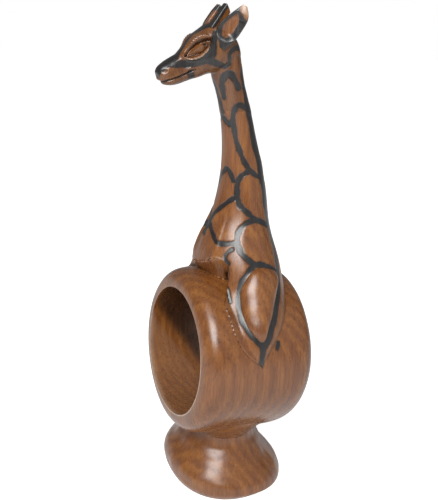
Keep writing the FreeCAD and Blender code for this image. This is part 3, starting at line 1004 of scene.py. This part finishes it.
def carveHead(points, normals):
    across, along, up = toHead(points)
    side = np.abs(across)
    face = faceShape

    def nearSpot(name, longWay, upWay):
        middle = face[name]
        return hump((along - middle[0]) / longWay, (up - middle[1]) / upWay)

    # the eye's socket, with a gouged brow over it and a lid under it
    share, above = eyeCoordinates(along, up)
    upper, lower = eyeEdges(share)
    inEye = (np.abs(share) < 1.25) * easeStep(side, 1.6, 2.8)
    fade = np.clip((1.25 - np.abs(share)) / 0.3, 0, 1) * inEye
    depthIn = np.where(above > 0, upper - above, lower + above)
    depthIn = np.where(np.abs(share) > 1, -np.abs(above) - 0.5, depthIn)
    socket = easeStep(depthIn, -0.05, 0.45) * eyeShape["socket"]
    scallop = 1 + 0.16 * np.sin(share * 4.05 / eyeShape["scallop"] * 2 * math.pi + 1.2 * np.sin(share * 5))
    brow = hump((depthIn + 0.42) / 0.42) * (above > 0) * eyeShape["brow"] * scallop
    lid = hump((depthIn + 0.12) / 0.50) * (above <= 0) * eyeShape["lid"] * scallop
    out = (brow + lid - socket) * fade
    # mouth cut, lips, nostrils and the hollow before the cheek
    route = smoothLine(face["mouth"], 8)
    flat = np.column_stack([along, up, np.zeros(len(points))])
    fromMouth = strokeGap(flat, [np.pad(route, ((0, 0), (0, 2)))])
    out -= hump(fromMouth / 0.24) * face["mouthDepth"]
    lip = hump((fromMouth - 0.75) / 0.4) * face["lip"] * (along > 12.5)
    out += lip
    out -= nearSpot("nostrilAt", 0.66, 0.42) * face["nostrilDepth"] * (side > 0.5)
    out -= nearSpot("cheekAt", 2.0, 1.3) * face["cheekDepth"]
    out += nearSpot("jawboneAt", 4.0, 1.1) * face["jawbone"]
    out += handWaver(points, 3.2, 31) * 0.05 + handWaver(points, 8, 32) * 0.08
    # painted light on the brow, the lids and the lips, and a painted highlight on the snout's side; painted
    # shade in the socket, its crease and the mouth cut; the muzzle is darker
    crease = hump((depthIn - 0.22) / 0.28) * (above > 0)
    eyeLightAndShade = (brow * 0.3 + lid * 1.5 * easeStep(depthIn, -1.0, -0.1) - socket * 0.36 - crease * 0.5) * fade
    muzzle = easeStep(along, 13, 15.5) * (1 - easeStep(up, 3.2, 4.6))
    snoutSheen = nearSpot("snoutSheenAt", 1.3, 0.75) * (side > 1)
    wear = eyeLightAndShade - hump(fromMouth / 0.22) * 0.75 + lip * 0.8 - muzzle * 0.3 + snoutSheen * 0.8
    return points + normals * out[:, None], wear


def headRings():
    x, y = squaredOutline(72, headShape["squareness"])
    rings = []
    for along in np.linspace(headShape["rows"][0][0], headShape["rows"][-1][0], 70):
        middle, tall, wide = smoothRows(headShape["rows"], along)
        rings.append(fromHead(wide * x, along, middle + tall * y))
    return np.array(rings)


def onNeckSkin(points):
    # the same height and direction, but on the neck's own skin
    height = np.clip(points[:, 2], 100, 130)
    middle, wide, deep = smoothRows(neckShape["rows"], height).T
    spoke = np.stack([points[:, 0], points[:, 1] - middle], 1)
    spoke /= np.maximum(np.linalg.norm(spoke, axis=1), 1e-6)[:, None]
    reach = 1 / np.sqrt((spoke[:, 0] / wide) ** 2 + (spoke[:, 1] / deep) ** 2)
    return onRelief(np.column_stack([spoke[:, 0] * reach, middle + spoke[:, 1] * reach, points[:, 2]]))


headLines = {
    # along to the nose, up, half width; on the side of the head
    "under eye": [(16.8, 5.0, 0.8), (15.2, 4.3, 0.95), (13.2, 3.4, 1.0), (11, 2.7, 1.05), (9, 2.5, 1.25),
                  (7, 2.9, 1.4), (5.8, 4.2, 1.05), (4.4, 5.9, 0.85), (3.2, 7.2, 0.6)],
    "cheek branch": [(7.6, 1.6, 1.0), (5.4, -0.9, 0.85), (3.6, -1.9, 0.75), (2.5, -0.8, 0.65),
                     (2.1, 0.6, 0.65), (0.4, 1.1, 0.7), (-1.7, 0.6, 0.7)],
    "jaw spot": [(13.3, 0.9, 0.85), (13.3, -0.2, 0.95), (13.0, -1.6, 0.8)],
}
# along to the nose, distance from the middle, half width; on top of the face
bridgeBand = [(20.7, 0, 1.9), (19.4, 0, 2.5), (17.6, 0, 2.8), (15.8, 0, 2.6), (14.0, 0, 1.6), (12.0, 0, 1.0),
              (9.5, 0, 0.85), (6.5, 0, 0.85), (4.2, 0, 1.1)]
hornFork = [(6.5, 0.4, 0.8), (4.4, 1.3, 0.9), (2.6, 2.2, 1.0), (1.2, 2.6, 1.0)]


def headStrokes(skin):
    tree = BVHTree.FromPolygons([Vector(point) for point in readPoints(skin)],
                                [tuple(face.vertices) for face in skin.data.polygons])

    def fallen(starts, direction, widths):
        # the stroke that the points make where they land on the skin
        hits = [tree.ray_cast(Vector(start), Vector(direction))[0] for start in starts]
        return [(*hit, half) for hit, half in zip(hits, widths) if hit]

    strokes = []
    for side in (1, -1):
        for number, route in enumerate(headLines.values()):
            along, up, half = smoothLine(route, 6).T
            # the right side's lines are a little off the left side's
            shift = 0 if side > 0 else 0.25 * math.sin(number * 2 + 1)
            strokes.append(fallen(fromHead(side * 30, along + shift, up - shift), (-side, 0, 0), half))
    for side, route, steps in ((1, hornFork, 5), (-1, hornFork, 5), (1, bridgeBand, 6)):
        along, across, half = smoothLine(route, steps).T
        strokes.append(fallen(fromHead(side * across, along, 30), -headAxes[2], half))
    return strokes


def makeHead(strokes):
    seam = neckShape["seam"]
    skull = loftShell(headRings())
    nape = loftShell(neckRings(seam - 5, neckShape["rows"][-1][0], 60, 90))
    head = newPiece("carved_head", *joinShells([skull, nape]))
    melt = head.modifiers.new("melt", "REMESH")
    melt.mode = "VOXEL"
    melt.voxel_size = headShape["voxel"] * mm
    soften = head.modifiers.new("soften", "SMOOTH")
    soften.factor = 0.6
    soften.iterations = 14
    settle(head)
    points = readPoints(head)
    inks = strokes + headStrokes(head)
    points, wear = carveHead(points, readPoints(head, True))
    storeInk(head, None, wear)
    # below the jaw the skin runs into the neck's own
    hold = 1 - easeStep(points[:, 2], 116.5, 119.5)
    points = points * (1 - hold[:, None]) + onNeckSkin(points) * hold[:, None]
    points[:, 2] = np.maximum(points[:, 2], seam - 5)
    gap = strokeGap(points, inks)
    writePoints(head, points)
    normals = readPoints(head, True)
    press = (1 - easeStep(gap, -0.25, 0.25)) * headShape["press"] * easeStep(points[:, 2], 116, 118)
    writePoints(head, points - normals * press[:, None])
    # the neck ends at the seam, and the head starts there
    work = bmesh.new()
    work.from_mesh(head.data)
    geometry = work.verts[:] + work.edges[:] + work.faces[:]
    plane = {"plane_co": (0, 0, seam * mm), "plane_no": (0, 0, 1)}
    cut = bmesh.ops.bisect_plane(work, geom=geometry, clear_inner=True, dist=1e-8, **plane)
    rim = [item for item in cut["geom_cut"] if isinstance(item, bmesh.types.BMEdge)]
    bmesh.ops.edgeloop_fill(work, edges=rim)
    work.to_mesh(head.data)
    work.free()
    return head, inks


def makeJawBlock():
    # everything under the mouth and in front of the jaw's back end
    back, top = headShape["jawBack"], headShape["jawHeight"]
    corners = []
    for along in (back, 26):
        for up in (-8, top + (0.5 if along > back else 0)):
            for across in (-8, 8):
                corners.append(fromHead(across, along, up))
    faces = [(0, 1, 3, 2), (4, 6, 7, 5), (0, 4, 5, 1), (2, 3, 7, 6), (0, 2, 6, 4), (1, 5, 7, 3)]
    return newPiece("jaw_block", corners, faces)


head, headInk = makeHead(neckInk)
jaw = addToScene("carved_jaw", head.data.copy())
block = makeJawBlock()
combine(jaw, block, "INTERSECT")
combine(head, block, "DIFFERENCE")
discard(block)
for piece, node in ((head, "head"), (jaw, "lower_jaw")):
    storeInk(piece, strokeGap(readPoints(piece), headInk))
    softShade(piece, 45)
    dress(piece, faceWood, "marked_hardwood", node)

print("giraffe napkin ring: eyes")

eyeballShape = {
    "length": 3.3,
    "height": 1.05,
    "sunk": 0.85,
    "thickness": 0.6,
    "peak": 0.85,
    "pupilAt": 0.55,
    "pupil": 0.36,
    "pupilDepth": 0.45,
    "pupilRim": 0.30,
}


def makeEye(name, node, side):
    shape = eyeballShape
    front, back = np.array(eyeShape["front"]), np.array(eyeShape["back"])
    middle = (front + back) / 2
    run = (back - front) / np.linalg.norm(back - front)
    rise = np.array([run[1], -run[0]])
    turns = evenTurns(72)
    outlineX = np.cos(turns) * shape["length"]
    outlineY = np.sin(turns) * np.abs(np.sin(turns)) ** 0.25 * shape["height"]
    pupilX = shape["pupilAt"] * shape["length"]
    # from the middle of the hidden back to the rim, then over the rim to the middle of the front
    rows = [(share, False) for share in np.linspace(0.06, 1, 7)]
    rows += [(share, True) for share in np.linspace(0.97, 0.03, 26)]
    loops = []
    ink = []
    for share, inFront in rows:
        loop = []
        for x, y in zip(outlineX * share, outlineY * share):
            along, up = middle + run * x + rise * y
            hit = skinFree.ray_cast(Vector(fromHead(side * 30, along, up)), Vector((-side, 0, 0)))
            level = -shape["sunk"]
            fromPupil = math.hypot(x - pupilX, y)
            if inFront:
                facet = max(0.0, 1 - abs(x) / shape["length"] - abs(y) / shape["height"] * 0.75)
                level += shape["peak"] * facet**0.8
                level += shape["pupilRim"] * hump((fromPupil - 0.55) / 0.25)
                level -= shape["pupilDepth"] * hump(fromPupil / shape["pupil"])
            else:
                level -= shape["thickness"]
            loop.append(tuple(hit[0] + hit[1] * level))
            ink.append(fromPupil - shape["pupil"])
        loops.append(loop)
    eye = newPiece(name, *loftShell(loops))
    tips = [pupilX - shape["pupil"]] * 2
    storeInk(eye, ink + tips)
    softShade(eye, 30)
    dress(eye, faceWood, "marked_hardwood", node)


skullPoints, skullFaces = loftShell(headRings())
skinFree = BVHTree.FromPolygons([Vector(point) for point in skullPoints], skullFaces)
for name, node, side in (("left_eye", "eye_left", 1), ("right_eye", "eye_right", -1)):
    makeEye(name, node, side)

print("giraffe napkin ring: ears and horns")

earShape = {
    "root": (5.0, -9.6, 131.6),
    "tip": (7.6, -5.0, 142.3),
    "face": (0.86, -0.5, 0.0),
    # along the ear, width to the front, width to the back
    "rows": [
        (0, 1.3, 1.0), (2.4, 3.1, 2.0), (4.2, 3.4, 2.5), (7.3, 2.3, 2.85), (9.9, 1.0, 2.2), (11.3, 0.3, 0.9),
    ],
    "thickness": 0.75,
    "back": 1.25,
    "hollow": 1.15,
    "hollowFrom": (0.14, 0.34),
    "hollowTo": (0.66, 0.84),
    "paleTip": 0.84,  # share of the length at which the dark ends
    "paleFace": (-0.16, 0.50),  # middle of the pale oval in the face: across, along
}


def makeEar(name, node, side):
    shape = earShape
    root, tip = np.array(shape["root"]), np.array(shape["tip"])
    length = np.linalg.norm(tip - root)
    axis = (tip - root) / length
    face = np.array(shape["face"]) / np.linalg.norm(shape["face"])
    face = face - axis * (face @ axis)
    face /= np.linalg.norm(face)
    backward = np.cross(face, axis)
    backward *= np.sign(backward[1])
    turns = evenTurns(64)
    across, lift = np.cos(turns), np.sin(turns)
    loops, ink, wear = [], [], []
    last = shape["rows"][-1][0]
    for place in last * (1 - (1 - np.linspace(0, 1, 60)) ** 1.3):
        front, back = smoothRows(shape["rows"], place)
        share = place / last
        width = np.where(across > 0, back, front)
        scoop = shape["hollow"] * np.clip(1 - across**2 * 1.25, 0, 1) ** 0.8
        scoop = scoop * easeStep(share, *shape["hollowFrom"]) * (1 - easeStep(share, *shape["hollowTo"]))
        taper = min(1.0, (1 - share) * 3.2 + 0.35)
        outer = shape["thickness"] * (1 - np.abs(across) ** 6) ** 0.5 * taper - scoop
        inner = -shape["back"] * (1 - across**2) ** 0.55 * taper
        level = np.where(lift >= 0, outer, inner)
        spots = root + axis * (share * length)
        spots = spots + np.outer(across * width, backward) + np.outer(level, face)
        spots[:, 0] *= side
        loops.append(spots)
        oval = np.hypot((across - shape["paleFace"][0]) / 0.50, (share - shape["paleFace"][1]) / 0.28)
        tipEdge = (shape["paleTip"] - share - 0.10 * across) * 8
        border = (1 - oval) * 1.7
        faceInk = np.maximum(border, -tipEdge)
        backInk = np.maximum((0.72 - np.abs(across)) * 2.2, -tipEdge * 1.2)
        ink += np.where(lift >= -0.05, faceInk, backInk).tolist()
        # the tip is paler, and a painted shade lies in the hollow inside the oval
        wear += (np.clip(-tipEdge, 0, 1) * 0.8 - np.clip(1.0 - oval, 0, 1) * 0.12).tolist()
    ear = newPiece(name, *loftShell(loops))
    storeInk(ear, ink + [0.3, 1.0], wear + [0, 0.8])
    waverSkin(ear, 3.5, 41, 0.06)
    softShade(ear, 55)
    dress(ear, markedWood, "marked_hardwood", node)


hornShape = {
    "foot": (2.5, -10.7, 136.5),
    "tip": (2.6, -7.35, 141.4),
    "wide": 1.2,
    "deep": 1.3,
    "lag": 0.7,  # the right one leans back further
    "taper": 0.90,
    "slant": 0.62,
    "squareness": 6.5,
    # the rounded end: share of the length, share of the size
    "end": [(1.012, 0.97), (1.02, 0.90), (1.022, 0.6), (1.024, 0.25)],
}


def makeHorn(name, node, side):
    shape = hornShape
    foot, tip = np.array(shape["foot"]), np.array(shape["tip"])
    if side < 0:
        foot, tip = foot + (0, shape["lag"], 0), tip + (0, shape["lag"], -shape["lag"] / 2)
    length = np.linalg.norm(tip - foot)
    axis = (tip - foot) / length
    wideWay = np.array((1.0, 0.12, 0.0))
    wideWay -= axis * (wideWay @ axis)
    wideWay /= np.linalg.norm(wideWay)
    deepWay = np.cross(axis, wideWay)
    deepWay *= np.sign(deepWay[1])
    x, y = squaredOutline(56, shape["squareness"])
    loops = []
    for share, inset in [(share, 1.0) for share in np.linspace(-0.12, 1, 30)] + shape["end"]:
        size = (1 + (shape["taper"] - 1) * share) * inset
        slant = shape["slant"] * easeStep(share, 0.5, 1.0)
        place = share * length - y * slant * inset
        spots = foot + np.outer(place, axis)
        spots = spots + np.outer(x * shape["wide"] * size, wideWay)
        spots = spots + np.outer(y * shape["deep"] * size, deepWay)
        spots[:, 0] *= side
        loops.append(spots)
    horn = newPiece(name, *loftShell(loops))
    points = waverSkin(horn, 2.6, 51 + side, 0.07)
    # the left one is scorched in front, the right one at its tip and on its outer face
    inPlace = points * (side, 1, 1) - foot
    fold = inPlace @ deepWay + 0.3
    if side < 0:
        fold = np.minimum(0.8 * length - inPlace @ axis, 0.75 * shape["wide"] - inPlace @ wideWay)
    storeInk(horn, fold)
    softShade(horn, 32)
    dress(horn, markedWood, "scorched_hardwood", node)


for side, label in ((1, "left"), (-1, "right")):
    makeEar(label + "_ear", "ear_" + label, side)
    makeHorn(label + "_horn", "horn_" + label, side)

print("giraffe napkin ring: torn fibres")

fibreShape = {"Count": 46, "Length": 1.5, "Thickness": 0.10, "Spread": 0.85, "Seed": 4}


def fibreTree(material):
    # tapered slivers stand at random along the piece's own line
    wire, size = startTree("torn_fibres", fibreShape)
    line = wire.node("NodeGroupInput", out="Geometry")
    route = wire.node("GeometryNodeMeshToCurve", {}, {"Mesh": line})
    evenly = wire.node("GeometryNodeResampleCurve", {}, {"Curve": route, "Count": size["Count"]})
    thick = size["Thickness"] * mm
    cone = {"Vertices": 6, "Side Segments": 5, "Radius Top": thick * 0.12, "Radius Bottom": thick,
            "Depth": size["Length"] * mm}
    sliver = wire.node("GeometryNodeMeshCone", {}, cone)

    def chance(low, high, offset):
        sockets = {"Seed": size["Seed"] + offset, 0: low, 1: high}
        return wire.node("FunctionNodeRandomValue", {"data_type": "FLOAT_VECTOR"}, sockets)

    onward = wire.node("GeometryNodeInputTangent")
    lying = wire.node("FunctionNodeAlignRotationToVector", {"axis": "Z"}, {"Vector": onward})
    loose = chance((-0.45, -0.45, 0.0), (0.45, 0.45, 6.0), 1)
    tilt = wire.node("FunctionNodeRotateRotation", {"rotation_space": "LOCAL"},
                     {"Rotation": lying, "Rotate By": loose})
    scale = chance((0.5, 0.4, 0.3), (1.9, 0.9, 1.15), 2)
    placed = wire.node("GeometryNodeInstanceOnPoints", {},
                       {"Points": evenly, "Instance": sliver, "Rotation": tilt, "Scale": scale})
    # they are made real first, so that each corner can be nudged by itself
    whole = wire.node("GeometryNodeRealizeInstances", {}, {"Geometry": placed})
    nudge = (size["Spread"] * (0.12 * mm)).timesVector(chance((-1, -1, -1), (1, 1, 1), 3))
    ruffled = wire.node("GeometryNodeSetPosition", {}, {"Geometry": whole, "Offset": nudge})
    return endTree(wire, ruffled, material)


def makeFibres(name, route, values):
    line = smoothLine(onRelief(neckSpot(*np.array(route, float).T)), 6)
    piece = newMesh(name, line, [(i, i + 1) for i in range(len(line) - 1)], [])
    runTree(piece, fibreTree(tornWood), values)
    outwardFaces(piece)
    softShade(piece, 60)
    dress(piece, tornWood, "marked_hardwood")


# angle from the left side towards the front, height
chestEdge = [(116, 70.5), (104, 70.9), (90, 71.6), (74, 72.9), (60, 74.6), (50, 74.7)]
makeFibres("chest_fibres", chestEdge, fibreShape)
footOfNotch = [(88, 68.6), (74, 68.5), (62, 68.4), (52, 68.1), (43, 67.4), (37, 66.8)]
makeFibres("notch_fibres", footOfNotch, {**fibreShape, "Count": 34, "Seed": 9})

print("giraffe napkin ring: floor and light")

stageLook = {
    "floor": (0.90, 0.90, 0.905),
    "floorSpeck": (0.89, 0.89, 0.895),
    "floorGlow": 0.86,
    "bounce": 0.12,  # the floor's glow as the carving sees it
    "room": 0.19,  # the white room's strength as the carving sees it
    "aim": (0, 0, 70),
    "lights": {
        "key": {"place": (360, -330, 500), "size": 0.38, "power": 4.4},
        "side": {"place": (420, 330, 260), "size": 0.7, "power": 0.45},
    },
}


def makeFloor():
    look = stageLook
    corners = [(-2500, -2500, 0), (2500, -2500, 0), (2500, 2500, 0), (-2500, 2500, 0)]
    floor = newPiece("floor", corners, [(0, 1, 2, 3)])
    material = bpy.data.materials.new("pale_floor")
    material.use_nodes = True
    material.node_tree.nodes.clear()
    wire = Wire(material.node_tree)
    place = wire.node("ShaderNodeTexCoord", out="Object")
    speck = wire.node("ShaderNodeTexNoise", {}, {"Vector": place, "Scale": 30.0})
    tone = speck.spread(0.2, 0.8).blended((*look["floorSpeck"], 1), (*look["floor"], 1))
    seen = wire.node("ShaderNodeLightPath", out="Is Camera Ray")
    glow = seen * (look["floorGlow"] - look["bounce"]) + look["bounce"]
    finish = {"Base Color": tone, "Roughness": 0.7, "Emission Color": (1, 1, 1, 1), "Emission Strength": glow}
    shader = wire.node("ShaderNodeBsdfPrincipled", {}, finish)
    wire.node("ShaderNodeOutputMaterial", {}, {"Surface": shader})
    floor.data.materials.append(material)


def makeRoom():
    # it lights the carving softly, and is plain white behind it
    world = bpy.data.worlds.new("white_room")
    bpy.context.scene.world = world
    world.use_nodes = True
    world.node_tree.nodes.clear()
    wire = Wire(world.node_tree)
    seen = wire.node("ShaderNodeLightPath", out="Is Camera Ray")
    strength = seen * (1.0 - stageLook["room"]) + stageLook["room"]
    room = wire.node("ShaderNodeBackground", {}, {"Color": (1, 1, 1, 1), "Strength": strength})
    wire.node("ShaderNodeOutputWorld", {}, {"Surface": room})


def makeLights():
    target = Vector(stageLook["aim"]) * mm
    for name, values in stageLook["lights"].items():
        light = bpy.data.lights.new(name, "AREA")
        light.size = values["size"]
        light.energy = values["power"]
        lamp = addToScene(name, light)
        lamp.location = Vector(values["place"]) * mm
        lamp.rotation_euler = (target - lamp.location).to_track_quat("-Z", "Y").to_euler()


makeFloor()
makeRoom()
makeLights()
view = bpy.context.scene.view_settings
view.view_transform = "Standard"
view.look = "None"

print("giraffe napkin ring: done")
